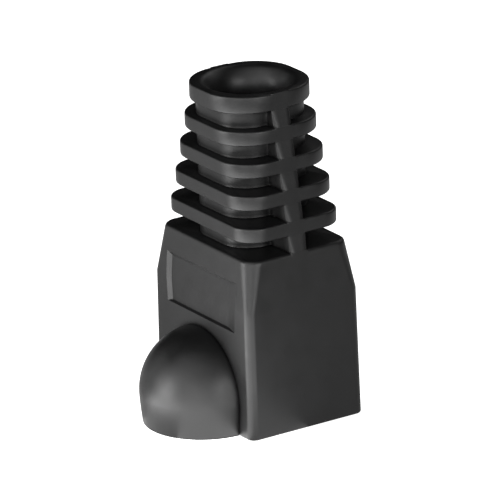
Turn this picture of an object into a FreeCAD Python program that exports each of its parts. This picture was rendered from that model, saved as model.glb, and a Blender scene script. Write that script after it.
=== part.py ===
import FreeCAD, Part
import math
import os
import Sketcher

# A moulded strain relief boot for an eight-way modular plug.
# Frame: Z is the cable's axis. Z = 0 is the open rim that the plug slides into, and the cable leaves at
# the top. X runs across the plug. The plug's latch lies on the -Y side, under the bubble.

SIZES = [
    # housing, measured over its outside
    ("housing_width", 14.0),
    ("housing_depth", 10.7),
    ("housing_corner", 0.7),
    ("housing_draft", 0.1),
    ("shoulder_height", 10.6),
    ("ledge_height", 14.65),
    ("ledge_width", 13.0),
    ("ledge_depth", 9.6),
    ("ledge_corner", 1.35),
    ("ledge_round", 0.25),
    # bubble over the latch
    ("bubble_radius", 5.3),
    ("bubble_foot_radius", 5.1),
    ("bubble_centre_height", 2.4),
    ("bubble_sink", 0.25),
    ("bubble_wall", 1.1),
    # recessed panel above the bubble
    ("panel_foot_width", 9.4),
    ("panel_head_width", 9.9),
    ("panel_height", 4.1),
    ("panel_centre_height", 10.6),
    ("panel_depth", 0.4),
    ("panel_side_inset", 0.35),
    ("panel_edge_inset", 0.1),
    ("panel_tilt", 3.5),
    # bending neck
    ("neck_width", 7.5),
    ("neck_depth", 7.5),
    ("neck_corner", 2.4),
    ("ring_pitch", 2.48),
    ("ring_thickness", 1.2),
    ("collar_extra", 0.2),
    ("collar_overhang_x", 0.65),
    ("collar_overhang_y", 0.7),
    ("ring_width_step", 0.88),
    ("ring_depth_step", 0.13),
    ("lowest_ring_corner", 2.0),
    ("ring_corner_step", 0.4),
    ("ring_round", 0.2),
    ("rib_width", 1.6),
    ("rib_round", 0.3),
    ("rib_flare_height", 0.5),
    ("rib_flare_start", 0.26),
    # inside
    ("housing_wall", 1.15),
    ("socket_depth", 9.2),
    ("socket_corner", 0.4),
    ("funnel_height", 4.0),
    ("bore_diameter", 5.5),
    ("mouth_depth", 2.0),
    ("mouth_flare", 1.0),
]
RING_COUNT = 5

doc = FreeCAD.newDocument("boot")
sheet = doc.addObject("Spreadsheet::Sheet", "sizes")
for row, (alias, value) in enumerate(SIZES, start=1):
    sheet.set(f"A{row}", alias)
    sheet.set(f"B{row}", str(value))
    sheet.setAlias(f"B{row}", alias)
doc.recompute()

body = doc.addObject("PartDesign::Body", "boot")
body.Label = "boot"


def origin_plane(role):
    """The body's own origin plane with this role."""
    return next(plane for plane in body.Origin.OriginFeatures if plane.Role == role)


def evaluate(expression):
    """The number that an expression on the sheet has now, to start a sketch near its solved shape."""
    return float(sheet.evalExpression(expression))


def new_sketch(name, role="XY_Plane", lift=None):
    """An empty sketch on an origin plane, lifted along the plane's normal by an expression."""
    sketch = body.newObject("Sketcher::SketchObject", name)
    sketch.AttachmentSupport = (origin_plane(role), [""])
    sketch.MapMode = "FlatFace"
    if lift:
        sketch.setExpression("AttachmentOffset.Base.z", lift)
    return sketch


def bind(sketch, constraint, expression):
    """Add a constraint whose value follows an expression."""
    index = sketch.addConstraint(constraint)
    sketch.setExpression(f"Constraints[{index}]", expression)


def rounded_rectangle(name, width, depth, corner, lift=None):
    """A sketch of a rounded rectangle about the Z axis. Its sizes and height are expressions."""
    sketch = new_sketch(name, lift=lift)
    x, y, r = evaluate(width) / 2, evaluate(depth) / 2, evaluate(corner)
    straights = [((r - x, -y), (x - r, -y)), ((x, r - y), (x, y - r)),
                 ((x - r, y), (r - x, y)), ((-x, y - r), (-x, r - y))]
    for start, end in straights:
        sketch.addGeometry(Part.LineSegment(FreeCAD.Vector(*start, 0), FreeCAD.Vector(*end, 0)))
    for turn, (cx, cy) in enumerate([(x - r, r - y), (x - r, y - r), (r - x, y - r), (r - x, r - y)]):
        circle = Part.Circle(FreeCAD.Vector(cx, cy, 0), FreeCAD.Vector(0, 0, 1), r)
        start_angle = (turn - 1) * math.pi / 2
        sketch.addGeometry(Part.ArcOfCircle(circle, start_angle, start_angle + math.pi / 2))
    for side in range(4):
        arc = 4 + side
        sketch.addConstraint(Sketcher.Constraint("Tangent", side, 2, arc, 1))
        sketch.addConstraint(Sketcher.Constraint("Tangent", arc, 2, (side + 1) % 4, 1))
    sketch.addConstraint(Sketcher.Constraint("Horizontal", 0))
    sketch.addConstraint(Sketcher.Constraint("Vertical", 1))
    for arc in (5, 6, 7):
        sketch.addConstraint(Sketcher.Constraint("Equal", 4, arc))
    sketch.addConstraint(Sketcher.Constraint("Symmetric", 4, 3, 6, 3, -1, 1))
    bind(sketch, Sketcher.Constraint("DistanceX", 3, 1, 1, 1, 2 * x), width)
    bind(sketch, Sketcher.Constraint("DistanceY", 0, 1, 2, 1, 2 * y), depth)
    bind(sketch, Sketcher.Constraint("Radius", 4, r), corner)
    return sketch


def polygon(name, points):
    """A closed outline of straight edges in the XZ plane. Each corner is a pair of expressions."""
    sketch = new_sketch(name, "XZ_Plane")
    places = [FreeCAD.Vector(evaluate(u), evaluate(v), 0) for u, v in points]
    count = len(points)
    for index in range(count):
        sketch.addGeometry(Part.LineSegment(places[index], places[(index + 1) % count]))
    for index in range(count):
        sketch.addConstraint(Sketcher.Constraint("Coincident", index, 2, (index + 1) % count, 1))
    for index, (u, v) in enumerate(points):
        bind(sketch, Sketcher.Constraint("DistanceX", -1, 1, index, 1, places[index].x), u)
        bind(sketch, Sketcher.Constraint("DistanceY", -1, 1, index, 1, places[index].y), v)
    return sketch


def loft(name, sections, subtract=False):
    """A ruled loft through the sketches in order, added to the body or cut from it."""
    kind = "PartDesign::SubtractiveLoft" if subtract else "PartDesign::AdditiveLoft"
    feature = body.newObject(kind, name)
    feature.Profile = sections[0]
    feature.Sections = sections[1:]
    feature.Ruled = True
    return feature


def pad(name, sketch, length):
    """A pad of the sketch along its normal, its length an expression."""
    feature = body.newObject("PartDesign::Pad", name)
    feature.Profile = sketch
    feature.setExpression("Length", length)
    return feature


def round_edges(name, feature, radius, wanted):
    """A fillet on the edges of the feature that the test picks."""
    doc.recompute()
    edges = [f"Edge{index}" for index, edge in enumerate(feature.Shape.Edges, start=1) if wanted(edge)]
    fillet = body.newObject("PartDesign::Fillet", name)
    fillet.Base = (feature, edges)
    fillet.setExpression("Radius", radius)
    return fillet


def outline(name, corners, arc, role, shift=None):
    """A closed profile with one arc. arc is (its first corner, its radius, its centre)."""
    sketch = new_sketch(name, role)
    if shift:
        sketch.setExpression("AttachmentOffset.Base.x", shift)
    arc_index, radius, centre = arc
    places = [FreeCAD.Vector(evaluate(u), evaluate(v), 0) for u, v in corners]
    count = len(corners)
    ends = []
    for index in range(count):
        start, end = places[index], places[(index + 1) % count]
        if index != arc_index:
            sketch.addGeometry(Part.LineSegment(start, end))
            ends.append((1, 2))
            continue
        middle = FreeCAD.Vector(evaluate(centre[0]), evaluate(centre[1]), 0)
        angles = [math.atan2(place.y - middle.y, place.x - middle.x) for place in (start, end)]
        turns_left = (angles[1] - angles[0]) % (2 * math.pi) < math.pi
        if not turns_left:
            angles.reverse()
        circle = Part.Circle(middle, FreeCAD.Vector(0, 0, 1), evaluate(radius))
        sketch.addGeometry(Part.ArcOfCircle(circle, *angles))
        ends.append((1, 2) if turns_left else (2, 1))
    for index in range(count):
        following = (index + 1) % count
        sketch.addConstraint(
            Sketcher.Constraint("Coincident", index, ends[index][1], following, ends[following][0]))
    for index, (u, v) in enumerate(corners):
        first = ends[index][0]
        bind(sketch, Sketcher.Constraint("DistanceX", -1, 1, index, first, places[index].x), u)
        bind(sketch, Sketcher.Constraint("DistanceY", -1, 1, index, first, places[index].y), v)
    bind(sketch, Sketcher.Constraint("Radius", arc_index, evaluate(radius)), radius)
    return sketch


def cut_upwards(name, sketch, depth):
    """A pocket from the sketch towards +Z, its depth an expression."""
    feature = body.newObject("PartDesign::Pocket", name)
    feature.Profile = sketch
    feature.setExpression("Length", depth)
    feature.Reversed = True
    return feature


def level_edge_of(feature, top_only=False):
    """A test for the level edges of what a feature adds, without those where it meets the body."""
    doc.recompute()
    own = feature.AddSubShape
    highest = own.BoundBox.ZMax
    middles = [edge.CenterOfMass for edge in own.Edges if edge.BoundBox.ZLength < 1e-4
               and not (top_only and edge.BoundBox.ZMax < highest - 1e-4)]
    return lambda edge: any(edge.CenterOfMass.distanceToPoint(middle) < 1e-4 for middle in middles)


def turned(kind, name, sketch):
    """A profile turned once round its sketch's vertical axis, added to the body or cut from it."""
    feature = body.newObject(kind, name)
    feature.Profile = sketch
    feature.ReferenceAxis = (sketch, ["V_Axis"])
    feature.Angle = 360
    return feature


# --- housing: a drafted box that narrows from the shoulder up to the ledge -------------------------
rim = rounded_rectangle("rim", "sizes.housing_width", "sizes.housing_depth", "sizes.housing_corner")
shoulder = rounded_rectangle(
    "shoulder", "sizes.housing_width - 2 * sizes.housing_draft",
    "sizes.housing_depth - 2 * sizes.housing_draft", "sizes.housing_corner", "sizes.shoulder_height")
ledge = rounded_rectangle(
    "ledge", "sizes.ledge_width", "sizes.ledge_depth", "sizes.ledge_corner", "sizes.ledge_height")
loft("housing_lower", [rim, shoulder])
housing = loft("housing_upper", [shoulder, ledge])
round_edges("ledge_rounding", housing, "sizes.ledge_round", level_edge_of(housing, top_only=True))

# --- bubble: a dome on the latch side, standing on the rim ----------------------------------------
bubble_axis = "-(sizes.housing_depth / 2 - sizes.bubble_sink)"
bubble_profile = outline(
    "bubble_profile",
    [("0", "0"), ("-sizes.bubble_foot_radius", "0"), ("-sizes.bubble_radius", "sizes.bubble_centre_height"),
     ("0", "sizes.bubble_centre_height + sizes.bubble_radius")],
    (2, "sizes.bubble_radius", ("0", "sizes.bubble_centre_height")), "YZ_Plane", bubble_axis)
turned("PartDesign::Revolution", "bubble", bubble_profile)

# --- neck: a thin tube that carries the rings, so that it bends in its gaps --------------------------
top_height = f"(sizes.ledge_height + {RING_COUNT} * sizes.ring_pitch + sizes.collar_extra)"
neck_section = rounded_rectangle(
    "neck_section", "sizes.neck_width", "sizes.neck_depth", "sizes.neck_corner", "sizes.ledge_height")
pad("neck", neck_section, f"{top_height} - sizes.ledge_height")


def ring_width(index):
    """Width of a ring as an expression, worked out from the collar down. Ring 0 is the lowest."""
    steps = RING_COUNT - 1 - index
    return f"(sizes.neck_width + 2 * sizes.collar_overhang_x + {steps} * sizes.ring_width_step)"


def ring_depth(index):
    """Depth of a ring as an expression, worked out from the collar down. Ring 0 is the lowest."""
    steps = RING_COUNT - 1 - index
    return f"(sizes.neck_depth + 2 * sizes.collar_overhang_y + {steps} * sizes.ring_depth_step)"


def ring_levels(index):
    """Underside and top of a ring as expressions. The last ring is the collar, which is thicker."""
    below = f"(sizes.ledge_height + {index + 1} * sizes.ring_pitch - sizes.ring_thickness)"
    above = f"(sizes.ledge_height + {index + 1} * sizes.ring_pitch)"
    return (below, top_height) if index == RING_COUNT - 1 else (below, above)


for index in range(RING_COUNT):
    underside, top = ring_levels(index)
    section = rounded_rectangle(
        f"ring_section_{index + 1}", ring_width(index), ring_depth(index),
        f"sizes.lowest_ring_corner + {index} * sizes.ring_corner_step", underside)
    ring = pad(f"ring_{index + 1}", section, f"{top} - {underside}")
    round_edges(f"ring_rounding_{index + 1}", ring, "sizes.ring_round", level_edge_of(ring))

# --- ribs: one web across the cable's axis, flush with the sides of the rings. In each gap it goes ------
# --- down from the ring above and flares out onto the top of the one below ----------------------------
def web_section(name, width, level):
    """A section of the web at this level."""
    return rounded_rectangle(name, width, "sizes.rib_width", "sizes.rib_round", level)


web_sections = [web_section("web_foot", "sizes.ledge_width", "sizes.ledge_height - sizes.ledge_round")]
for index in range(RING_COUNT):
    underside, top = ring_levels(index)
    width = ring_width(index)
    flare_level = f"(sizes.ledge_height + {index} * sizes.ring_pitch + sizes.rib_flare_height)"
    if index == RING_COUNT - 1:
        top = f"({top} - sizes.ring_round)"
    web_sections += [
        web_section(f"web_flare_{index + 1}", f"{width} + 2 * sizes.rib_flare_start", flare_level),
        web_section(f"web_low_{index + 1}", width, underside),
        web_section(f"web_high_{index + 1}", width, top)]
loft("web", web_sections)

# --- panel: a shallow recess whose side walls slope, while its upper and lower walls are steep ---------
def panel_outline(name, side_inset, edge_inset, sink):
    """The panel's outline in its tilted plane, drawn in at its sides and edges and sunk inwards."""
    foot = f"(sizes.panel_foot_width / 2 - {side_inset})"
    head = f"(sizes.panel_head_width / 2 - {side_inset})"
    tall = f"(sizes.panel_height / 2 - {edge_inset})"
    sketch = polygon(name, [(f"-{foot}", f"-{tall}"), (foot, f"-{tall}"), (head, tall), (f"-{head}", tall)])
    turn = FreeCAD.Rotation(FreeCAD.Vector(-1, 0, 0), evaluate("sizes.panel_tilt"))
    sketch.AttachmentOffset = FreeCAD.Placement(FreeCAD.Vector(), turn)
    sketch.setExpression("AttachmentOffset.Rotation.Angle", "sizes.panel_tilt")
    sketch.setExpression("AttachmentOffset.Base.y", "sizes.panel_centre_height")
    sketch.setExpression(
        "AttachmentOffset.Base.z", f"sizes.housing_depth / 2 - sizes.housing_draft - {sink}")
    return sketch


panel_mouth = panel_outline("panel_mouth", "0", "0", "0")
panel_floor = panel_outline(
    "panel_floor", "sizes.panel_side_inset", "sizes.panel_edge_inset", "sizes.panel_depth")
loft("panel_recess", [panel_mouth, panel_floor], subtract=True)

# --- inside: socket for the plug, funnel, bore for the cable and room for the latch -------------------
inner_width = "(sizes.housing_width - 2 * sizes.housing_wall)"
inner_depth = "(sizes.housing_depth - 2 * sizes.housing_wall)"
socket_mouth = rounded_rectangle("socket_mouth", inner_width, inner_depth, "sizes.socket_corner")
cut_upwards("socket", socket_mouth, "sizes.socket_depth")
socket_end = rounded_rectangle(
    "socket_end", inner_width, inner_depth, "sizes.socket_corner", "sizes.socket_depth")
funnel_end = rounded_rectangle(
    "funnel_end", "sizes.bore_diameter", "sizes.bore_diameter", "sizes.bore_diameter / 2 - 0.05",
    "sizes.socket_depth + sizes.funnel_height")
loft("funnel", [socket_end, funnel_end], subtract=True)
mouth_curve = "((sizes.mouth_depth ^ 2 + sizes.mouth_flare ^ 2) / (2 * sizes.mouth_flare))"
bore_profile = outline(
    "bore_profile",
    [("0", "sizes.socket_depth + sizes.funnel_height"),
     ("sizes.bore_diameter / 2", "sizes.socket_depth + sizes.funnel_height"),
     ("sizes.bore_diameter / 2", f"{top_height} - sizes.mouth_depth"),
     ("sizes.bore_diameter / 2 + sizes.mouth_flare", top_height),
     ("0", top_height)],
    (2, mouth_curve,
     (f"sizes.bore_diameter / 2 + {mouth_curve}", f"{top_height} - sizes.mouth_depth")), "XZ_Plane")
turned("PartDesign::Groove", "bore", bore_profile)
latch_room_profile = outline(
    "latch_room_profile",
    [("0", "0"), ("-(sizes.bubble_foot_radius - sizes.bubble_wall)", "0"),
     ("-(sizes.bubble_radius - sizes.bubble_wall)", "sizes.bubble_centre_height"),
     ("0", "sizes.bubble_centre_height + sizes.bubble_radius - sizes.bubble_wall")],
    (2, "sizes.bubble_radius - sizes.bubble_wall", ("0", "sizes.bubble_centre_height")),
    "YZ_Plane", bubble_axis)
turned("PartDesign::Groove", "latch_room", latch_room_profile)

doc.recompute()
for item in doc.Objects:
    if "Invalid" in item.State or "Error" in item.State:
        raise RuntimeError(f"{item.Name} failed: {item.State}")
if body.Shape.isNull() or not body.Shape.isValid() or len(body.Shape.Solids) != 1:
    raise RuntimeError("boot is not one valid solid")

os.makedirs("parts", exist_ok=True)
body.Shape.exportStep(f"parts/{body.Label}.step")
print(f"{body.Label}: {body.Shape.Volume:.1f} mm3, box {body.Shape.BoundBox}")
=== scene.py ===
import logging
import math
from collections.abc import Callable
from dataclasses import dataclass, field, replace
from enum import Enum

import bmesh
import bpy
from mathutils import Matrix, Vector


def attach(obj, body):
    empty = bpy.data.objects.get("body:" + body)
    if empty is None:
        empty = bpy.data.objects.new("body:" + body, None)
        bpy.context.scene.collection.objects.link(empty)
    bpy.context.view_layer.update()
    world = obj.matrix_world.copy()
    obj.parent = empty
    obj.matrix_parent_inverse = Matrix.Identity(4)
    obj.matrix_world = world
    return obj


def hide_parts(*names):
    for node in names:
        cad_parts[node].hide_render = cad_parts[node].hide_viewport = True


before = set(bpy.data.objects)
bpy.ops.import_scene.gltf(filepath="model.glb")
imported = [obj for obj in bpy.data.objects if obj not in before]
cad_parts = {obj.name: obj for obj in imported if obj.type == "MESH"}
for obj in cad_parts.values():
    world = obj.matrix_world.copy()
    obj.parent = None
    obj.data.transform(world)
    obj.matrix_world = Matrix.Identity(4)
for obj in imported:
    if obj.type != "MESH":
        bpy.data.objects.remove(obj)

log = logging.getLogger("boot")

# The boot is modelled in millimetres and brought to metres when it is finished.
MM = 0.001
MERGE_DISTANCE = 1e-4
WHITE = (1.0, 1.0, 1.0, 1.0)


class Element(Enum):
    """A kind of mesh element, by the name that Blender's operators use."""

    EDGE = "EDGE"
    FACE = "FACE"


class Join(Enum):
    """What a tool body does to the piece that it meets."""

    ADD = "UNION"
    CUT = "DIFFERENCE"


def start_edit(name: str) -> bpy.types.Object:
    """Name the active primitive and open it in edit mode with everything selected.

    Args:
        name: name of the object and its mesh.

    Returns:
        The object, in edit mode.
    """
    piece = bpy.context.active_object
    piece.name = piece.data.name = name
    bpy.ops.object.mode_set(mode="EDIT")
    bpy.ops.mesh.select_all(action="SELECT")
    return piece


def deselect_objects() -> None:
    """Leave object mode with nothing selected, so that operators act on new pieces alone."""
    if bpy.context.mode != "OBJECT":
        bpy.ops.object.mode_set(mode="OBJECT")
    bpy.ops.object.select_all(action="DESELECT")


def activate(piece: bpy.types.Object) -> None:
    """Select this object alone and make it the active one.

    Args:
        piece: the object.
    """
    deselect_objects()
    piece.select_set(True)
    bpy.context.view_layer.objects.active = piece


def select_where(piece: bpy.types.Object, kind: Element, wanted: Callable[..., bool]) -> None:
    """Select the faces or edges of the piece in edit mode that a test picks.

    Args:
        piece: the object in edit mode.
        kind: whether faces or edges are tested.
        wanted: test on a bmesh element.
    """
    bpy.ops.mesh.select_mode(type=kind.value)
    bpy.ops.mesh.select_all(action="DESELECT")
    shape = bmesh.from_edit_mesh(piece.data)
    elements = shape.edges if kind is Element.EDGE else shape.faces
    for element in filter(wanted, elements):
        element.select_set(True)
    shape.select_flush_mode()
    bmesh.update_edit_mesh(piece.data)


def combine(target: bpy.types.Object, tool: bpy.types.Object, join: Join) -> None:
    """Add a tool body to the target, or cut it away, and delete the tool.

    Args:
        target: the object that is changed.
        tool: the closed body that acts on it.
        join: whether the tool is added or cut away.
    """
    activate(target)
    modifier = target.modifiers.new("combine", "BOOLEAN")
    modifier.operation = join.value
    modifier.solver = "EXACT"
    modifier.object = tool
    bpy.ops.object.modifier_apply(modifier=modifier.name)
    bpy.data.objects.remove(tool)


@dataclass(frozen=True)
class Section:
    """One level outline of the moulding in millimetres: a rounded rectangle, or a circle.

    Attributes:
        height: level of the outline.
        half_x: half of the width, without the ribs.
        half_y: half of the depth.
        corner: corner radius. Where it is as large as half_x, the outline is a circle.
        rib: distance of the ribs' faces from the axis, or 0 where there are no ribs.
        rib_edge: radius of the ribs' upright edges.
    """

    height: float
    half_x: float
    half_y: float
    corner: float
    rib: float = 0.0
    rib_edge: float = 0.1


def quarter_turn(radius: float, steps: int = 3) -> list[tuple[float, float]]:
    """Points of a rounded edge, from the flat face to the side wall.

    Args:
        radius: radius of the edge.
        steps: number of straight pieces.

    Returns:
        Pairs of distance from the flat face and inset from the side wall.
    """
    angles = [math.pi / 2 * step / steps for step in range(steps + 1)]
    return [(radius * (1 - math.cos(angle)), radius * (1 - math.sin(angle))) for angle in angles]


@dataclass
class Skin:
    """Turns a stack of sections into a mesh with the same number of points at every level.

    Attributes:
        rib_half: half of the ribs' width.
        rib_root: radius of the hollow edge between a rib and the neck.
        least_rib: a rib that stands out less than this is left flush with the side.
        edge_limit: largest edge radius, as a share of what the rib stands out.
        root_limit: largest root radius, as a share of what the rib stands out.
        face_shares: places of the points on half of the rib's face.
        edge_turns: turns of the points on the rib's edge, in degrees.
        side_shares: places of the points on the rib's side, from its edge to its root.
        root_turns: turns of the points on the rib's root, in degrees.
        flush_places: places of the same points along a side that no rib stands out of.
        straight_share: how much of half the straight side those places may take up.
        rest_shares: places of the points on what is left of the straight side.
        corner_steps: straight pieces in a rounded corner.
        flat_steps: straight pieces in half of the side along X.
    """

    rib_half: float = 0.8
    rib_root: float = 0.18
    least_rib: float = 0.001
    edge_limit: float = 0.6
    root_limit: float = 0.3
    face_shares: tuple[float, ...] = (0.0, 0.3, 0.6, 1.0)
    edge_turns: tuple[float, ...] = (30.0, 60.0, 90.0)
    side_shares: tuple[float, ...] = (0.67, 0.33, 0.0)
    root_turns: tuple[float, ...] = (45.0, 90.0)
    flush_places: tuple[float, ...] = (
        0.0, 0.15, 0.3, 0.5, 0.57, 0.64, 0.7, 0.76, 0.82, 0.9, 1.0, 1.1)
    straight_share: float = 0.97
    rest_shares: tuple[float, ...] = (0.5, 1.0)
    corner_steps: int = 12
    flat_steps: int = 4

    @property
    def quarter_count(self) -> int:
        """Points in a quarter of a section."""
        straight = len(self.flush_places) + len(self.rest_shares)
        return straight + self.corner_steps + self.flat_steps - 1

    def circle_quarter(self, radius: float) -> list[tuple[float, float]]:
        """Points of a round section, as many as any other section has."""
        angles = [math.pi / 2 * step / self.quarter_count for step in range(self.quarter_count)]
        return [(radius * math.cos(angle), radius * math.sin(angle)) for angle in angles]

    def ribbed_side(self, section: Section) -> list[tuple[float, float]]:
        """Half of a rib, from the middle of its face round its edge and down its side to the neck.

        Args:
            section: a section whose rib stands proud.

        Returns:
            The points in order, as (x, y).
        """
        x, rib, half = section.half_x, section.rib, self.rib_half
        edge = min(section.rib_edge, self.edge_limit * (rib - x))
        root = min(self.rib_root, self.root_limit * (rib - x))
        points = [(rib, share * (half - edge)) for share in self.face_shares]
        for angle in map(math.radians, self.edge_turns):
            points.append((rib - edge * (1 - math.cos(angle)),
                           half - edge * (1 - math.sin(angle))))
        side = rib - edge - x - root
        points += [(x + root + share * side, half) for share in self.side_shares]
        for angle in map(math.radians, self.root_turns):
            points.append((x + root * (1 - math.sin(angle)),
                           half + root * (1 - math.cos(angle))))
        return points

    def quarter(self, section: Section) -> list[tuple[float, float]]:
        """Points of a section from the +X axis round to the +Y axis, the last one left out.

        Args:
            section: the outline to sample.

        Returns:
            The points in order, as (x, y).
        """
        x, y, r = section.half_x, section.half_y, section.corner
        if r >= x:
            return self.circle_quarter(r)
        if section.rib > x + self.least_rib:
            points = self.ribbed_side(section)
        else:
            share = min(1.0, self.straight_share * (y - r) / self.flush_places[-1])
            points = [(x, share * place) for place in self.flush_places]
        last = points[-1][1]
        points += [(x, last + share * (y - r - last)) for share in self.rest_shares]
        for step in range(1, self.corner_steps + 1):
            angle = math.pi / 2 * step / self.corner_steps
            points.append((x - r * (1 - math.cos(angle)), y - r * (1 - math.sin(angle))))
        points += [((x - r) * (1 - step / self.flat_steps), y)
                   for step in range(1, self.flat_steps)]
        return points

    def loop(self, section: Section) -> list[Vector]:
        """All the way round a section, anticlockwise from the +X axis, as points in space.

        Args:
            section: the outline to sample.

        Returns:
            The points in order.
        """
        quarter = self.quarter(section)
        y = section.half_y
        plan = [*quarter, (0.0, y), *((-u, v) for u, v in reversed(quarter)),
                *((-u, -v) for u, v in quarter[1:]), (0.0, -y),
                *((u, -v) for u, v in reversed(quarter[1:]))]
        return [Vector((u, v, section.height)) for u, v in plan]

    def wrap(self, name: str, sections: list[Section]) -> bpy.types.Object:
        """Extrude one loop of edges from section to section until it meets its start again.

        Args:
            name: name of the new object.
            sections: the levels in order. The last one is the first one again.

        Returns:
            The closed shell, in object mode.
        """
        bpy.ops.mesh.primitive_circle_add(vertices=4 * self.quarter_count, radius=1.0)
        piece = start_edit(name)
        shape = bmesh.from_edit_mesh(piece.data)
        order = {vertex.index: place for place, vertex in enumerate(shape.verts)}
        for number, section in enumerate(sections):
            if number:
                bpy.ops.mesh.extrude_edges_move()
                shape = bmesh.from_edit_mesh(piece.data)
                shape.verts.index_update()
                order = {vertex.index: order[edge.other_vert(vertex).index]
                         for vertex in shape.verts if vertex.select
                         for edge in vertex.link_edges
                         if not edge.other_vert(vertex).select}
            points = self.loop(section)
            shape.verts.ensure_lookup_table()
            for index, place in order.items():
                shape.verts[index].co = points[place]
            bmesh.update_edit_mesh(piece.data)
        bpy.ops.mesh.select_all(action="SELECT")
        bpy.ops.mesh.remove_doubles(threshold=MERGE_DISTANCE)
        bpy.ops.mesh.normals_make_consistent(inside=False)
        bpy.ops.object.mode_set(mode="OBJECT")
        return piece


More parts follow.
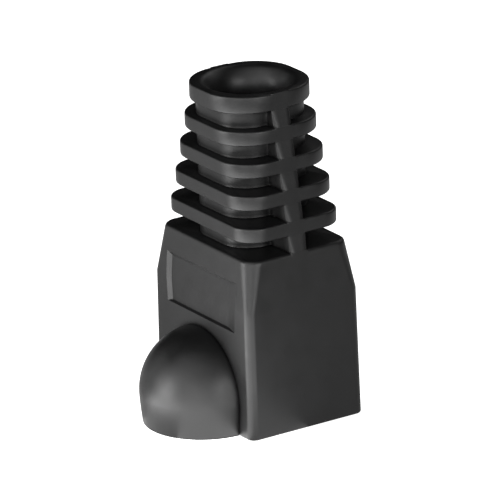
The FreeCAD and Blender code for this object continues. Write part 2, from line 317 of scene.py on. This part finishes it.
@dataclass
class Moulding:
    """The whole boot in millimetres: housing, ringed neck with its ribs, hollow, bubble and panel.

    Pairs named half are half sizes along X and Y.

    Attributes:
        rim_half: housing at the open rim.
        shoulder_half: housing where its taper starts.
        ledge_half: housing at its top.
        heights: levels of the shoulder and the ledge.
        lower_corner: the housing's corner radius up to the shoulder.
        ledge_corner: its corner radius at the ledge.
        rim_round: rounding of the rim's outer edge.
        ledge_round: rounding of the ledge's edge.
        kink_band: distance of the levels that hold the bend at the shoulder short.
        end_band: distance of the plain levels next to the rim and the ledge.
        lower_shares: levels of the housing below the shoulder, as shares of its height.
        neck_half: neck between the rings.
        neck_corner: the neck's corner radius.
        root_round: size of the hollow edge between the neck and a ring.
        root_share: share of that size at which its slope changes.
        level_gap: distance that keeps the ends of a gap apart from the rings' own levels.
        gap_shares: levels within a gap, from the ring below to the ring above.
        ring_count: number of rings, the collar included.
        ring_pitch: height from ring to ring.
        ring_thickness: thickness of a ring.
        collar_extra: what the collar is thicker than the other rings.
        ring_half: the lowest ring.
        ring_step: what each ring's half sizes are smaller than those of the one below.
        ring_corner: corner radius of the lowest ring.
        ring_corner_step: what each ring's corners are rounder.
        ring_round: rounding of the rings' edges.
        rib_edge: radius of a rib's upright edges at a ring's top and under the next one.
        mouth_depth: depth of the flared mouth.
        mouth_steepest: slope where the flare meets the lip, in degrees from upright.
        mouth_steps: straight pieces in the flare.
        lip_radius: rounding of the mouth's lip.
        lip_steps: straight pieces in the lip.
        bore_radius: radius of the bore for the cable.
        funnel: levels between which the socket narrows to the bore.
        socket_half: the socket for the plug.
        socket_corner: corner radius of the socket.
        socket_lead: how far the socket opens out at the rim.
        lead_height: height over which it opens out.
        bubble_radius: radius of the bubble.
        bubble_foot: radius of the bubble's foot at the rim.
        bubble_wall: thickness of the bubble's wall.
        bubble_centre: place of the bubble's centre along Y and Z.
        foot_steps: straight pieces in the foot's side.
        foot_power: how late the foot narrows.
        latch_drop: how far the cutter of the latch room reaches below the rim.
        dome_segments: segments of a dome all the way round.
        bisect_gap: distance of a dome's cut below its equator.
        panel_size: width of the panel at its foot and its head, and its height.
        panel_centre: place of the panel's middle along Y and Z.
        panel_tilt: lean of the panel in degrees.
        panel_depth: depth of the panel's floor.
        panel_bow: how much deeper the cutter is at the foot and head than at the middle.
        panel_overlap: how far the cutter stands out of the surface.
        panel_wall: width of the sloping wall on the -X side.
        panel_edges: width of the sloping walls at the foot and at the head.
        panel_ramp: width of the ramp on the +X side.
        ramp_power: how late the ramp steepens.
        ramp_steps: straight pieces in the ramp.
        panel_corner: radius of the panel's lower corner on the -X side.
        corner_steps: straight pieces in that corner.
        corner_reach: that corner lies beyond this share of the panel's width and height.
        panel_sharp_angle: an edge of the panel that bends more than this is kept sharp.
        panel_reach: how far from the panel's middle its edges may lie: a share of its width,
            a distance along Y and a share of its height.
        smooth_angle: an edge that bends less than this is shaded smooth, in degrees.
        skin: what makes the sections a mesh.
    """

    rim_half: tuple[float, float] = (7.0, 5.35)
    shoulder_half: tuple[float, float] = (6.9, 5.25)
    ledge_half: tuple[float, float] = (6.5, 4.8)
    heights: tuple[float, float] = (10.6, 14.65)
    lower_corner: float = 0.7
    ledge_corner: float = 1.35
    rim_round: float = 0.15
    ledge_round: float = 0.25
    kink_band: float = 0.35
    end_band: float = 0.5
    lower_shares: tuple[float, ...] = (0.35, 0.7)
    neck_half: tuple[float, float] = (3.75, 3.75)
    neck_corner: float = 2.4
    root_round: float = 0.05
    root_share: float = 0.3
    level_gap: float = 0.001
    gap_shares: tuple[float, ...] = (0.18, 0.27, 0.38, 0.5, 0.65, 0.8)
    ring_count: int = 5
    ring_pitch: float = 2.48
    ring_thickness: float = 1.2
    collar_extra: float = 0.2
    ring_half: tuple[float, float] = (6.16, 4.71)
    ring_step: tuple[float, float] = (0.44, 0.065)
    ring_corner: float = 2.0
    ring_corner_step: float = 0.4
    ring_round: float = 0.16
    rib_edge: tuple[float, float] = (0.28, 0.08)
    mouth_depth: float = 2.0
    mouth_steepest: float = 45.0
    mouth_steps: int = 10
    lip_radius: float = 0.7
    lip_steps: int = 6
    bore_radius: float = 2.75
    funnel: tuple[float, float] = (9.2, 13.2)
    socket_half: tuple[float, float] = (5.85, 4.2)
    socket_corner: float = 0.4
    socket_lead: float = 0.1
    lead_height: float = 0.3
    bubble_radius: float = 5.3
    bubble_foot: float = 5.1
    bubble_wall: float = 1.1
    bubble_centre: tuple[float, float] = (-5.1, 2.4)
    foot_steps: int = 6
    foot_power: float = 1.4
    latch_drop: float = 0.5
    dome_segments: int = 96
    bisect_gap: float = 0.001
    panel_size: tuple[float, float, float] = (9.8, 10.2, 4.15)
    panel_centre: tuple[float, float] = (-5.15, 10.6)
    panel_tilt: float = 3.5
    panel_depth: float = 0.2
    panel_bow: float = 0.1
    panel_overlap: float = 0.4
    panel_wall: float = 0.46
    panel_edges: tuple[float, float] = (0.15, 0.32)
    panel_ramp: float = 1.3
    ramp_power: float = 1.3
    ramp_steps: int = 5
    panel_corner: float = 0.35
    corner_steps: int = 4
    corner_reach: float = 0.3
    panel_sharp_angle: float = 8.0
    panel_reach: tuple[float, float, float] = (0.55, 1.0, 0.6)
    smooth_angle: float = 40.0
    skin: Skin = field(default_factory=Skin)

    @property
    def top(self) -> float:
        """Level of the collar's top."""
        return self.heights[1] + self.ring_count * self.ring_pitch + self.collar_extra

    def housing_section(self, height: float, inset: float = 0.0) -> Section:
        """Outline of the housing's outside at a height, drawn in by an inset.

        Args:
            height: level of the outline.
            inset: how far the outline is drawn in.

        Returns:
            The section.
        """
        shoulder, ledge = self.heights
        corner = self.lower_corner
        if height <= shoulder:
            share, low, high = height / shoulder, self.rim_half, self.shoulder_half
        else:
            share = (height - shoulder) / (ledge - shoulder)
            low, high = self.shoulder_half, self.ledge_half
            corner += share * (self.ledge_corner - self.lower_corner)
        half_x, half_y = (a + share * (b - a) for a, b in zip(low, high))
        return Section(height, half_x - inset, half_y - inset, corner - inset)

    def housing(self) -> list[Section]:
        """Outside of the housing, from the rim up to the ledge.

        Returns:
            The sections in order.
        """
        shoulder, ledge = self.heights
        sections = [self.housing_section(along, inset)
                    for along, inset in quarter_turn(self.rim_round)]
        levels = [self.end_band, *(share * shoulder for share in self.lower_shares),
                  shoulder - self.kink_band, shoulder, shoulder + self.kink_band,
                  0.5 * (shoulder + ledge), ledge - self.end_band]
        sections += [self.housing_section(height) for height in levels]
        for along, inset in reversed(quarter_turn(self.ledge_round)):
            section = self.housing_section(ledge - along, inset)
            sections.append(replace(section, rib=section.half_x + inset))
        return sections

    def gap(self, low: float, high: float, rib_low: float, rib_high: float) -> list[Section]:
        """The bare neck between two rings, with the ribs flaring out onto the lower one.

        Args:
            low: top of the ring below.
            high: underside of the ring above.
            rib_low: reach of the rib where it meets the ring below.
            rib_high: reach of the rib under the ring above.

        Returns:
            The levels from low to high.
        """
        neck_x, neck_y = self.neck_half
        edge_low, edge_high = self.rib_edge
        root, waist = self.root_round, self.root_share * self.root_round
        swell = {low + self.level_gap: root, low + waist: waist,
                 high - waist: waist, high - self.level_gap: root}
        heights = sorted([*swell, low + root, high - root,
                          *(low + share * (high - low) for share in self.gap_shares)])
        sections = []
        for height in heights:
            left = 1 - (height - low) / (high - low)
            more = swell.get(height, 0.0)
            sections.append(Section(
                height, neck_x + more, neck_y + more, self.neck_corner + more,
                rib=rib_high + (rib_low - rib_high) * left,
                rib_edge=edge_high + (edge_low - edge_high) * left))
        return sections

    def rings(self) -> list[Section]:
        """The neck from the ledge to the collar's top, with a gap under each ring.

        Returns:
            The sections in order.
        """
        sections, low, rib_low = [], self.heights[1], self.ledge_half[0]
        for index in range(self.ring_count):
            top = self.heights[1] + (index + 1) * self.ring_pitch
            underside = top - self.ring_thickness
            if index == self.ring_count - 1:
                top += self.collar_extra
            half_x, half_y = (
                size - index * step for size, step in zip(self.ring_half, self.ring_step))
            corner = self.ring_corner + index * self.ring_corner_step
            sections += self.gap(low, underside, rib_low, half_x)
            turn = quarter_turn(self.ring_round)
            levels = [*((underside + along, inset) for along, inset in turn),
                      (0.5 * (underside + top), 0.0),
                      *((top - along, inset) for along, inset in reversed(turn))]
            sections += [
                Section(height, half_x - inset, half_y - inset, corner - inset, rib=half_x)
                for height, inset in levels]
            low, rib_low = top, half_x
        return sections

    def hollow(self) -> list[Section]:
        """Inside, from the collar down the flared mouth, the bore and the funnel, to the rim.

        Returns:
            The sections in order.
        """
        steepest = math.radians(self.mouth_steepest)
        lip, lip_height = self.lip_radius, self.lip_radius * (1 - math.sin(steepest))
        curve = (self.mouth_depth - lip_height) / math.sin(steepest)
        edge = self.bore_radius + curve * (1 - math.cos(steepest))
        sections = []
        for step in range(self.lip_steps):
            angle = math.pi / 2 - (math.pi / 2 - steepest) * step / self.lip_steps
            radius = edge + lip * (math.cos(steepest) - math.cos(angle))
            height = self.top - lip * (1 - math.sin(angle))
            sections.append(Section(height, radius, radius, radius))
        for step in range(self.mouth_steps, -1, -1):
            angle = steepest * step / self.mouth_steps
            radius = self.bore_radius + curve * (1 - math.cos(angle))
            height = self.top - self.mouth_depth + curve * math.sin(angle)
            sections.append(Section(height, radius, radius, radius))
        foot, throat = self.funnel
        radius = self.bore_radius
        sections += [Section(height, radius, radius, radius)
                     for height in (0.5 * (throat + self.top), throat)]
        half_x, half_y = self.socket_half
        sections += [Section(height, half_x, half_y, self.socket_corner)
                     for height in (foot, 0.5 * foot, self.lead_height)]
        lead = self.socket_lead
        sections.append(Section(0.0, half_x + lead, half_y + lead, self.socket_corner + lead))
        return sections

    def dome(self, name: str, radius: float, foot: float, drop: float) -> bpy.types.Object:
        """A half sphere on a slightly narrower foot, closed underneath.

        Args:
            name: name of the object.
            radius: radius of the sphere.
            foot: radius of the foot at the rim's level.
            drop: how far the foot goes below the rim's level.

        Returns:
            The closed body, in object mode.
        """
        depth, height = self.bubble_centre
        bpy.ops.mesh.primitive_uv_sphere_add(
            segments=self.dome_segments, ring_count=self.dome_segments // 2, radius=radius,
            location=(0.0, depth, height))
        piece = start_edit(name)
        equator = height - self.bisect_gap
        bpy.ops.mesh.bisect(
            plane_co=(0.0, depth, equator), plane_no=(0.0, 0.0, 1.0), clear_inner=True)
        select_where(piece, Element.EDGE, lambda edge: edge.is_boundary)
        width = radius
        for step in range(1, self.foot_steps + 1):
            share = step / self.foot_steps
            reach = radius + (foot - radius) * share ** self.foot_power
            bpy.ops.mesh.extrude_region_move(
                TRANSFORM_OT_translate={"value": (0.0, 0.0, -equator / self.foot_steps)})
            bpy.ops.transform.resize(
                value=(reach / width, reach / width, 1.0), center_override=(0.0, depth, 0.0))
            width = reach
        if drop:
            bpy.ops.mesh.extrude_region_move(TRANSFORM_OT_translate={"value": (0.0, 0.0, -drop)})
        bpy.ops.mesh.edge_face_add()
        bpy.ops.mesh.select_all(action="SELECT")
        bpy.ops.mesh.normals_make_consistent(inside=False)
        bpy.ops.object.mode_set(mode="OBJECT")
        bpy.ops.object.transform_apply(location=True, rotation=True, scale=True)
        return piece

    def bubble(self) -> bpy.types.Object:
        """The bubble's outside, cut off halfway through the housing's wall.

        Returns:
            The closed body, in object mode.
        """
        piece = self.dome("bubble", self.bubble_radius, self.bubble_foot, 0.0)
        # The foot ends at exactly the rim's level, so that the join leaves no crack.
        for vertex in piece.data.vertices:
            if vertex.co.z < self.bisect_gap:
                vertex.co.z = 0.0
        activate(piece)
        bpy.ops.object.mode_set(mode="EDIT")
        bpy.ops.mesh.select_all(action="SELECT")
        inside = 0.5 * (self.rim_half[1] + self.socket_half[1])
        bpy.ops.mesh.bisect(plane_co=(0.0, -inside, 0.0), plane_no=(0.0, 1.0, 0.0),
                            clear_outer=True, use_fill=True)
        bpy.ops.object.mode_set(mode="OBJECT")
        return piece

    def panel_profile(self, wide: float) -> list[tuple[float, float]]:
        """The panel's level section: a sloping wall, a flat floor and a ramp up to the surface.

        Args:
            wide: width of the panel at this level.

        Returns:
            Pairs of place across the panel and depth under the surface.
        """
        half, depth, out = wide / 2, self.panel_depth, self.panel_overlap
        points = [(-half - self.panel_wall * out / depth, -out), (-half + self.panel_wall, depth)]
        for step in range(self.ramp_steps + 1):
            share = step / self.ramp_steps
            points.append((half - self.panel_ramp * (1 - share),
                           depth * (1 - share ** self.ramp_power)))
        return points + [(half + self.panel_ramp * out / (self.ramp_power * depth), -out)]

    def panel(self) -> bpy.types.Object:
        """The panel's cutter: its level section at foot, middle and head, one corner rounded.

        Returns:
            The closed body, in its place and in object mode.
        """
        foot, head, tall = self.panel_size
        levels = {-1: self.panel_profile(foot), 0: self.panel_profile(0.5 * (foot + head)),
                  1: self.panel_profile(head)}
        bpy.ops.mesh.primitive_circle_add(vertices=len(levels[0]), radius=1.0)
        piece = start_edit("panel")
        bpy.ops.mesh.edge_face_add()
        for _ in range(2):
            bpy.ops.mesh.extrude_region_move(
                TRANSFORM_OT_translate={"value": (0.0, 0.0, tall / 2)})
        shape = bmesh.from_edit_mesh(piece.data)
        ranks = {way: [vertex for vertex in shape.verts
                       if round(2 * vertex.co.z / tall) - 1 == way] for way in levels}
        for way, profile in levels.items():
            around = sorted(ranks[way], key=lambda vertex: math.atan2(
                vertex.co.y, vertex.co.x) % (2 * math.pi))
            edge = self.panel_edges[way > 0]
            for vertex, (place, depth) in zip(around, profile):
                reach = tall / 2 - edge * depth / self.panel_depth
                vertex.co = Vector((place, depth - (0 if way else self.panel_bow), way * reach))
        bmesh.update_edit_mesh(piece.data)
        select_where(piece, Element.EDGE, lambda edge: all(
            vertex.co.x < -self.corner_reach * foot and vertex.co.z < -self.corner_reach * tall
            for vertex in edge.verts))
        bpy.ops.mesh.bevel(
            offset=self.panel_corner, segments=self.corner_steps, affect="EDGES")
        bpy.ops.mesh.select_all(action="SELECT")
        bpy.ops.mesh.normals_make_consistent(inside=False)
        bpy.ops.object.mode_set(mode="OBJECT")
        depth, height = self.panel_centre
        piece.location = (0.0, depth, height)
        piece.rotation_euler = (-math.radians(self.panel_tilt), 0.0, 0.0)
        bpy.ops.object.transform_apply(location=True, rotation=True, scale=True)
        return piece

    def is_panel_rim(self, edge: bmesh.types.BMEdge) -> bool:
        """Whether an edge of the finished mesh bounds one of the panel's walls.

        Args:
            edge: an edge of the boot in millimetres.

        Returns:
            True where it does.
        """
        _, head, tall = self.panel_size
        depth, height = self.panel_centre
        across, behind, along = self.panel_reach
        near = all(abs(vertex.co.x) < across * head and vertex.co.y < depth + behind
                   and abs(vertex.co.z - height) < along * tall for vertex in edge.verts)
        return near and edge.calc_face_angle(0.0) > math.radians(self.panel_sharp_angle)

    def build(self) -> bpy.types.Object:
        """Model the boot and bring it to metres.

        Returns:
            The finished mesh, with soft shading and true normals.
        """
        deselect_objects()
        outside = [*self.housing(), *self.rings()]
        piece = self.skin.wrap("boot_moulding", [*outside, *self.hollow(), outside[0]])
        combine(piece, self.bubble(), Join.ADD)
        latch_room = self.dome("latch_room", self.bubble_radius - self.bubble_wall,
                               self.bubble_foot - self.bubble_wall, self.latch_drop)
        combine(piece, latch_room, Join.CUT)
        combine(piece, self.panel(), Join.CUT)
        activate(piece)
        bpy.ops.object.mode_set(mode="EDIT")
        bpy.ops.mesh.select_all(action="SELECT")
        bpy.ops.mesh.remove_doubles(threshold=MERGE_DISTANCE)
        bpy.ops.mesh.dissolve_degenerate(threshold=MERGE_DISTANCE)
        select_where(piece, Element.EDGE, self.is_panel_rim)
        bpy.ops.mesh.mark_sharp()
        bpy.ops.object.mode_set(mode="OBJECT")
        piece.scale = (MM, MM, MM)
        bpy.ops.object.transform_apply(location=True, rotation=True, scale=True)
        bpy.ops.object.shade_smooth_by_angle(
            angle=math.radians(self.smooth_angle), keep_sharp_edges=True)
        weights = piece.modifiers.new("weights", "WEIGHTED_NORMAL")
        weights.keep_sharp = True
        bpy.ops.object.modifier_apply(modifier=weights.name)
        return piece


@dataclass(frozen=True)
class MouldedRubber:
    """Black flexible moulding compound: dull, with a fine grain, a faint unevenness and painted
    shade in its creases.

    Attributes:
        colour: base colour, linear.
        colour_spread: share by which the base colour varies from place to place.
        clouds: size in metres and detail of the pattern that the colour follows.
        roughness: roughness of the plain surface.
        roughness_spread: how far the roughness varies.
        patches: size in metres and detail of the pattern that the roughness follows.
        noise_range: values between which those patterns are spread.
        grain: size in metres and detail of the grain.
        grain_depth: depth of the grain in metres.
        painted_shade_reach: how far from a crease its painted shade starts, in metres.
        painted_shade_range: openness of a place that counts as a crease, and as the open surface.
        painted_shade_specular: specular level deep in a crease, where it paints shade, and on the
            open surface.
        painted_shade_samples: rays that measure the openness of a place.
    """

    colour: tuple[float, float, float] = (0.0015, 0.0015, 0.0016)
    colour_spread: float = 0.2
    clouds: tuple[float, float] = (0.004, 3.0)
    roughness: float = 0.43
    roughness_spread: float = 0.05
    patches: tuple[float, float] = (0.0015, 4.0)
    noise_range: tuple[float, float] = (0.3, 0.7)
    grain: tuple[float, float] = (0.00012, 2.0)
    grain_depth: float = 0.000003
    painted_shade_reach: float = 0.0005
    painted_shade_range: tuple[float, float] = (0.45, 0.9)
    painted_shade_specular: tuple[float, float] = (0.05, 0.5)
    painted_shade_samples: int = 8

    def make(self, name: str) -> bpy.types.Material:
        """Build the node tree of the finish.

        Args:
            name: name of the material.

        Returns:
            The material.
        """
        material = bpy.data.materials.new(name)
        material.use_nodes = True
        nodes, links = material.node_tree.nodes, material.node_tree.links
        shader = nodes["Principled BSDF"]
        place = nodes.new("ShaderNodeTexCoord").outputs["Object"]

        def noise(size: float, detail: float) -> bpy.types.NodeSocket:
            """A noise pattern with features of this size in metres.

            Args:
                size: size of the features.
                detail: how fine the pattern is inside them.

            Returns:
                Its values.
            """
            node = nodes.new("ShaderNodeTexNoise")
            node.inputs["Scale"].default_value = 1 / size
            node.inputs["Detail"].default_value = detail
            links.new(place, node.inputs["Vector"])
            return node.outputs["Fac"]

        def spread(source: bpy.types.NodeSocket, seen: tuple[float, float],
                   wanted: tuple[float, float]) -> bpy.types.NodeSocket:
            """A pattern with one range of its values spread over another range.

            Args:
                source: values of the pattern.
                seen: the range that is taken from it.
                wanted: the range that it is spread over.

            Returns:
                The new values.
            """
            node = nodes.new("ShaderNodeMapRange")
            for end, low, high in (("Min", seen[0], wanted[0]), ("Max", seen[1], wanted[1])):
                node.inputs[f"From {end}"].default_value = low
                node.inputs[f"To {end}"].default_value = high
            links.new(source, node.inputs["Value"])
            return node.outputs["Result"]

        tint = nodes.new("ShaderNodeMix")
        tint.data_type = "RGBA"
        for end, share in (("A", 1 - self.colour_spread), ("B", 1 + self.colour_spread)):
            tint.inputs[end].default_value = (*(share * part for part in self.colour), 1.0)
        links.new(spread(noise(*self.clouds), self.noise_range, (0.0, 1.0)),
                  tint.inputs["Factor"])
        links.new(tint.outputs["Result"], shader.inputs["Base Color"])
        shine = self.roughness - self.roughness_spread, self.roughness + self.roughness_spread
        links.new(spread(noise(*self.patches), self.noise_range, shine),
                  shader.inputs["Roughness"])
        # Painted shade: ambient occlusion lowers the specular level in creases, under the rings
        # and beside the ribs, so that they look darker.
        painted_shade_node = nodes.new("ShaderNodeAmbientOcclusion")
        painted_shade_node.samples, painted_shade_node.only_local = self.painted_shade_samples, True
        painted_shade_node.inputs["Distance"].default_value = self.painted_shade_reach
        links.new(spread(painted_shade_node.outputs["AO"], self.painted_shade_range, self.painted_shade_specular),
                  shader.inputs["Specular IOR Level"])
        grain = nodes.new("ShaderNodeBump")
        grain.inputs["Strength"].default_value = 1.0
        grain.inputs["Distance"].default_value = self.grain_depth
        links.new(noise(*self.grain), grain.inputs["Height"])
        links.new(grain.outputs["Normal"], shader.inputs["Normal"])
        return material


@dataclass(frozen=True)
class GlowingPaper:
    """Plain paper that is lit as evenly as in a light tent, so that it glows white.

    Attributes:
        glow: strength of the light that it gives off.
        colour: grey of the paper, linear.
        roughness: roughness of its surface.
        shine: specular level of its surface.
    """

    glow: float = 1.0
    colour: float = 0.9
    roughness: float = 0.9
    shine: float = 0.5

    def make(self, name: str) -> bpy.types.Material:
        """Build the node tree of the finish.

        Args:
            name: name of the material.

        Returns:
            The material.
        """
        material = bpy.data.materials.new(name)
        material.use_nodes = True
        shader = material.node_tree.nodes["Principled BSDF"]
        shader.inputs["Base Color"].default_value = (self.colour, self.colour, self.colour, 1.0)
        shader.inputs["Roughness"].default_value = self.roughness
        shader.inputs["Specular IOR Level"].default_value = self.shine
        shader.inputs["Emission Color"].default_value = WHITE
        shader.inputs["Emission Strength"].default_value = self.glow
        return material


@dataclass(frozen=True)
class SoftLight:
    """One large area light aimed at the boot.

    Attributes:
        name: name of the light.
        azimuth: where it stands round the boot in degrees, 0 in front of the bubble.
        elevation: its height above the horizon in degrees.
        distance: its distance in metres.
        size: its width and height in metres.
        power: its power in watts.
    """

    name: str
    azimuth: float
    elevation: float
    distance: float
    size: tuple[float, float]
    power: float

    def build(self, aim: Vector) -> bpy.types.Object:
        """Place the light and turn it to the aim.

        Args:
            aim: the point that it shines at.

        Returns:
            The light.
        """
        lamp = bpy.data.lights.new(self.name, "AREA")
        lamp.shape = "RECTANGLE"
        lamp.size, lamp.size_y = self.size
        lamp.energy = self.power
        light = bpy.data.objects.new(self.name, lamp)
        bpy.context.scene.collection.objects.link(light)
        back = direction(self.azimuth, self.elevation)
        light.location = aim + self.distance * back
        light.rotation_euler = (-back).to_track_quat("-Z", "Y").to_euler()
        return light


@dataclass(frozen=True)
class FloorCard:
    """A glowing card that lies on the floor and throws light up at the boot.

    Attributes:
        name: name of the card.
        azimuths: where round the boot it starts and ends, in degrees.
        reach: its nearest and farthest distance from the boot's middle in metres.
        glow: strength of its light.
        lift: its height above the boot's rim in metres.
        sides: straight pieces in a whole ring of cards.
    """

    name: str
    azimuths: tuple[float, float]
    reach: tuple[float, float]
    glow: float
    lift: float = 0.00005
    sides: int = 144

    def build(self) -> bpy.types.Object:
        """Lay the card on the floor: a ring of which only one stretch is kept.

        Returns:
            The card, which the camera does not see.
        """
        near, far = self.reach
        bpy.ops.mesh.primitive_circle_add(
            vertices=self.sides, radius=near, location=(0.0, 0.0, self.lift))
        card = start_edit(self.name)
        bpy.ops.mesh.extrude_edges_move()
        bpy.ops.transform.resize(value=(far / near, far / near, 1.0))
        start, end = self.azimuths

        def outside(face: bmesh.types.BMFace) -> bool:
            """Whether a face of the ring lies beyond the card's stretch."""
            place = face.calc_center_median()
            return (math.degrees(math.atan2(place.x, -place.y)) - start) % 360.0 > end - start

        select_where(card, Element.FACE, outside)
        bpy.ops.mesh.delete(type="FACE")
        bpy.ops.object.mode_set(mode="OBJECT")
        paper = GlowingPaper(self.glow, colour=0.0, shine=0.0)
        card.data.materials.append(paper.make(self.name))
        card.visible_camera = False
        return card


@dataclass
class Studio:
    """Floor, soft lights, surroundings and camera.

    Attributes:
        floor_half: half of the floor's side in metres.
        floor_drop: how far the floor lies under the boot's rim, in metres.
        camera_azimuth: where the camera stands round the boot in degrees.
        camera_elevation: its height above the horizon in degrees.
        camera_roll: how far it leans to the side in degrees.
        camera_distance: its distance in metres.
        camera_lens: its focal length in millimetres.
        camera_sensor: width of its sensor in millimetres.
        camera_clip: nearest and farthest distance that it sees, in metres.
        aim_height: height of the point that the camera and the lights look at, in metres.
        aim_offset: how far the camera's aim lies from that point across the view, in metres.
        surroundings: strength of the light from all round.
        lights: the soft lights.
        cards: the glowing cards on the floor.
    """

    floor_half: float = 1.5
    floor_drop: float = 0.00003
    camera_azimuth: float = 57.5
    camera_elevation: float = 19.67
    camera_roll: float = 2.0
    camera_distance: float = 0.475
    camera_lens: float = 431.2
    camera_sensor: float = 36.0
    camera_clip: tuple[float, float] = (0.01, 10.0)
    aim_height: float = 0.014
    aim_offset: tuple[float, float] = (-0.00035, -0.00099)
    surroundings: float = 0.01
    lights: tuple[SoftLight, ...] = (
        SoftLight("front_left", -14.0, 8.0, 0.6, (0.25, 0.2), 2.1),
        SoftLight("front", 5.0, 28.0, 0.6, (0.4, 0.2), 0.45),
        SoftLight("front_high", 15.0, 50.0, 0.6, (0.6, 0.4), 0.95),
        SoftLight("left", -52.0, 12.0, 0.6, (0.4, 0.4), 0.45),
        SoftLight("front_right", 40.0, 12.0, 0.6, (0.45, 0.3), 1.5),
        SoftLight("right", 90.0, 12.0, 0.6, (0.4, 0.4), 2.15),
        SoftLight("right_high", 75.0, 50.0, 0.7, (0.5, 0.4), 0.35),
        SoftLight("back_high", 195.0, 40.0, 0.6, (0.5, 0.3), 0.45),
    )
    cards: tuple[FloorCard, ...] = (
        FloorCard("card_foot_left", (-100.0, -15.0), (0.004, 0.014), 0.8),
        FloorCard("card_foot_front", (-15.0, 15.0), (0.004, 0.014), 1.6),
        FloorCard("card_foot_middle", (15.0, 50.0), (0.004, 0.014), 3.6),
        FloorCard("card_foot_right", (50.0, 90.0), (0.004, 0.014), 1.5),
        FloorCard("card_left", (-60.0, -24.0), (0.014, 0.06), 0.5),
        FloorCard("card_front", (-24.0, 15.0), (0.014, 0.06), 6.0),
        FloorCard("card_middle", (15.0, 50.0), (0.014, 0.06), 4.2),
        FloorCard("card_right", (50.0, 90.0), (0.014, 0.06), 3.0),
        FloorCard("card_side", (90.0, 150.0), (0.004, 0.06), 0.55),
        FloorCard("card_far_left", (-60.0, -42.0), (0.06, 0.8), 0.6),
        FloorCard("card_far_front", (-42.0, 0.0), (0.06, 0.8), 1.7),
        FloorCard("card_far_side", (90.0, 150.0), (0.06, 0.8), 0.35),
        FloorCard("card_back", (150.0, 300.0), (0.004, 0.2), 0.7),
    )

    def floor(self) -> bpy.types.Object:
        """The pale floor that the boot stands on.

        Returns:
            The floor, which the boot does not mirror.
        """
        bpy.ops.mesh.primitive_plane_add(size=2 * self.floor_half)
        floor = bpy.context.active_object
        floor.location.z = -self.floor_drop
        floor.name = floor.data.name = "floor"
        floor.data.materials.append(GlowingPaper().make("paper"))
        floor.visible_glossy = floor.visible_diffuse = False
        return floor

    def camera(self) -> bpy.types.Object:
        """The camera, leaning a little, with its aim just off the boot's middle.

        Returns:
            The scene's camera.
        """
        back = direction(self.camera_azimuth, self.camera_elevation)
        turn = (-back).to_track_quat("-Z", "Y").to_matrix()
        turn = turn @ Matrix.Rotation(-math.radians(self.camera_roll), 3, "Z")
        aim = Vector((0.0, 0.0, self.aim_height))
        aim += turn @ Vector((self.aim_offset[0], self.aim_offset[1], 0.0))
        lens = bpy.data.cameras.new("camera")
        lens.lens, lens.sensor_width = self.camera_lens, self.camera_sensor
        lens.clip_start, lens.clip_end = self.camera_clip
        camera = bpy.data.objects.new("camera", lens)
        bpy.context.scene.collection.objects.link(camera)
        camera.location = aim + self.camera_distance * back
        camera.rotation_euler = turn.to_euler()
        bpy.context.scene.camera = camera
        return camera

    def build(self) -> None:
        """Set up everything round the boot."""
        deselect_objects()
        aim = Vector((0.0, 0.0, self.aim_height))
        pieces = [self.floor(), *(light.build(aim) for light in self.lights),
                  *(card.build() for card in self.cards), self.camera()]
        for piece in pieces:
            log.info("%s is set up", piece.name)
        world = bpy.data.worlds.new("surroundings")
        world.use_nodes = True
        sky = world.node_tree.nodes["Background"]
        sky.inputs["Color"].default_value = WHITE
        sky.inputs["Strength"].default_value = self.surroundings
        bpy.context.scene.world = world
        bpy.context.scene.view_settings.view_transform = "Standard"


def direction(azimuth: float, elevation: float) -> Vector:
    """Unit vector from the boot outwards.

    Args:
        azimuth: angle round the boot in degrees. 0 is -Y and 90 is +X.
        elevation: angle above the horizon in degrees.

    Returns:
        The vector.
    """
    turn, rise = math.radians(azimuth), math.radians(elevation)
    return Vector((math.sin(turn) * math.cos(rise), -math.cos(turn) * math.cos(rise),
                   math.sin(rise)))


def main() -> None:
    """Build the boot and its studio, and write how large the dressed part is."""
    logging.basicConfig(level=logging.INFO, format="%(name)s: %(message)s")
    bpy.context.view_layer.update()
    boot = Moulding().build()
    boot.data.materials.clear()
    boot.data.materials.append(MouldedRubber().make("moulded_rubber"))
    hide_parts("boot")
    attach(boot, "root")
    log.info("%s has %d faces", boot.name, len(boot.data.polygons))
    Studio().build()


if __name__ == "__main__":
    main()
